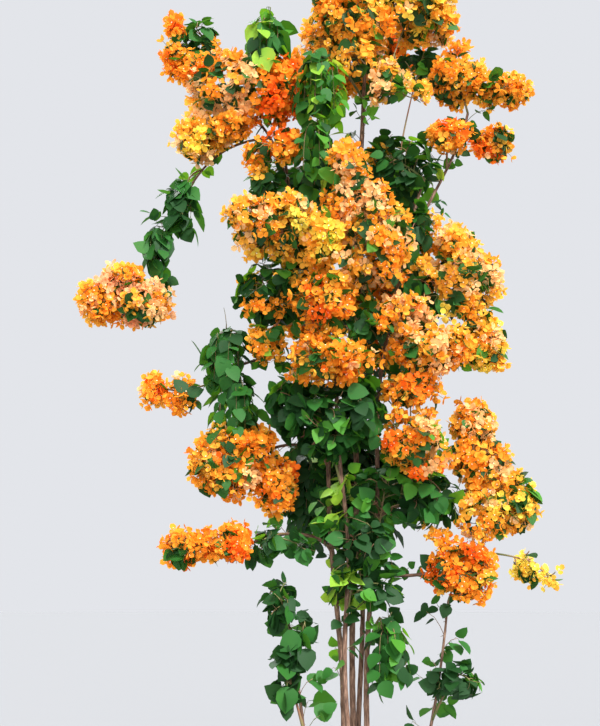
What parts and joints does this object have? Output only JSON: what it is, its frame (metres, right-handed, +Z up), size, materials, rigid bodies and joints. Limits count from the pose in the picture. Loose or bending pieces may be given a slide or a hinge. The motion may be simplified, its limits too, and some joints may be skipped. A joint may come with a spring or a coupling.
{
  "type": "bougainvillea bush",
  "caption": "Upright bougainvillea bush: slender woody stems from one root crown, weeping side shoots, and dense clusters of orange bracts among dark green leaves.",
  "frame": {"origin": "centre of the flat cut under the root crown, at ground level", "axes": "+Z up, +X to the right as the plant is seen from its pictured side, +Y away from that side"},
  "size_m": [1.6709, 0.8338, 3.5537],
  "materials": {
    "bark": "grey-brown fissured bark, matt",
    "bracts": "thin papery orange bracts, matt and translucent",
    "leaves": "dark green leaves, slightly glossy"
  },
  "bodies": {
    "root": {"root_crown": "bark", "stem_centre": "bark", "stem_left": "bark", "stem_right": "bark", "stem_back": "bark", "stem_front": "bark", "shoot_left": "bark", "shoot_right": "bark", "bough_left_low": "bark", "bough_left_mid": "bark", "bough_left_upper": "bark", "bough_upper_left": "bark", "bough_trailing": "bark", "bough_right_upper": "bark", "bough_right_mid": "bark", "bough_right_low": "bark", "bough_right_bottom": "bark", "blossom_crest": "bracts", "blossom_top_left": "bracts", "blossom_top_right": "bracts", "blossom_left_tip": "bracts", "blossom_upper_deep": "bracts", "blossom_upper_left": "bracts", "blossom_upper_left_low": "bracts", "blossom_trailing": "bracts", "blossom_left_small": "bracts", "blossom_left_big": "bracts", "blossom_upper_inner": "bracts", "blossom_left_low": "bracts", "blossom_centre_left": "bracts", "blossom_centre_right": "bracts", "blossom_mid": "bracts", "blossom_right_upper": "bracts", "blossom_right_drop": "bracts", "blossom_right_tall": "bracts", "blossom_right_mid": "bracts", "blossom_right_outer": "bracts", "blossom_right_inner": "bracts", "blossom_right_bottom": "bracts", "blossom_tail": "bracts", "blossom_lower_right": "bracts", "blossom_back_top": "bracts", "blossom_back_mid": "bracts", "foliage_top_left": "leaves", "foliage_hanging": "leaves", "foliage_upper_right": "leaves", "foliage_right_mid": "leaves", "foliage_left_mid": "leaves", "foliage_left_trail": "leaves", "foliage_core": "leaves", "foliage_column_upper": "leaves", "foliage_column_lower": "leaves", "foliage_column_bottom": "leaves", "foliage_left_low": "leaves", "foliage_left_hook": "leaves", "foliage_left_bottom": "leaves", "foliage_right_bottom": "leaves", "foliage_trailing": "leaves", "foliage_back_upper": "leaves", "foliage_back_low": "leaves"}
  },
  "joints": []
}
